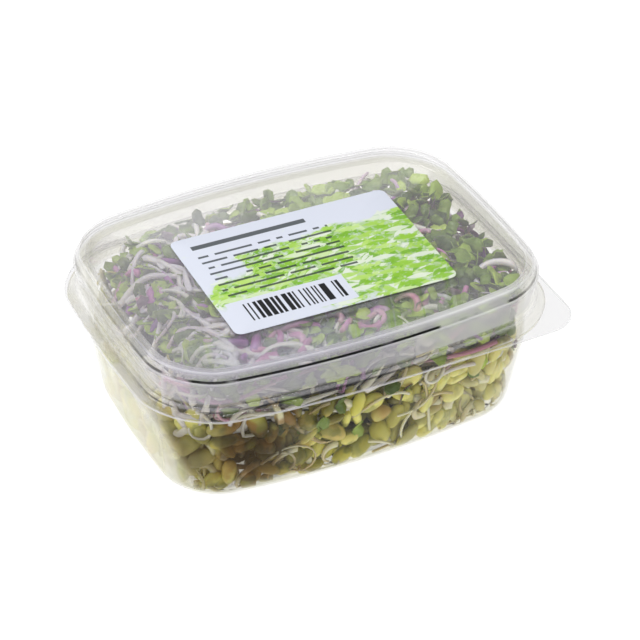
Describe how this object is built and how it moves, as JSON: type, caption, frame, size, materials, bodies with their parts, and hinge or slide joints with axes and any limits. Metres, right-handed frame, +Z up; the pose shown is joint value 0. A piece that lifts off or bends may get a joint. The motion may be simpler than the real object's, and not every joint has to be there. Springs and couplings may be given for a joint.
{
  "type": "tub of mung bean and radish sprouts",
  "caption": "Clear plastic tub with a press-on lid and a paper label, packed with mung bean sprouts below and leafy radish sprouts on top",
  "frame": {"origin": "centre of the tub's underside, on the surface that it stands on", "axes": "+Z up; +X along the tub's long side; the lid's pull tab is at the corner (+X, -Y); -Y is the long side nearer the camera"},
  "size_m": [0.1262, 0.0976, 0.049],
  "materials": {
    "tub_plastic": "clear thermoformed plastic, pale grey, glossy",
    "lid_plastic": "clear thermoformed plastic with a haze of condensation",
    "label_paper": "printed matte paper, white and pale lavender",
    "mung_bean": "moist pale yellow-green seed with ivory roots",
    "white_stem": "moist translucent white and cream stems",
    "pink_stem": "moist pink to purple stems",
    "radish_leaf": "green seed leaves with a slight sheen"
  },
  "bodies": {
    "root": {"tub": "tub_plastic", "lid": "lid_plastic", "label": "label_paper", "mung_sprouts": "mung_bean", "radish_stems_white": "white_stem", "radish_stems_pink": "pink_stem", "radish_leaves": "radish_leaf"}
  },
  "joints": []
}
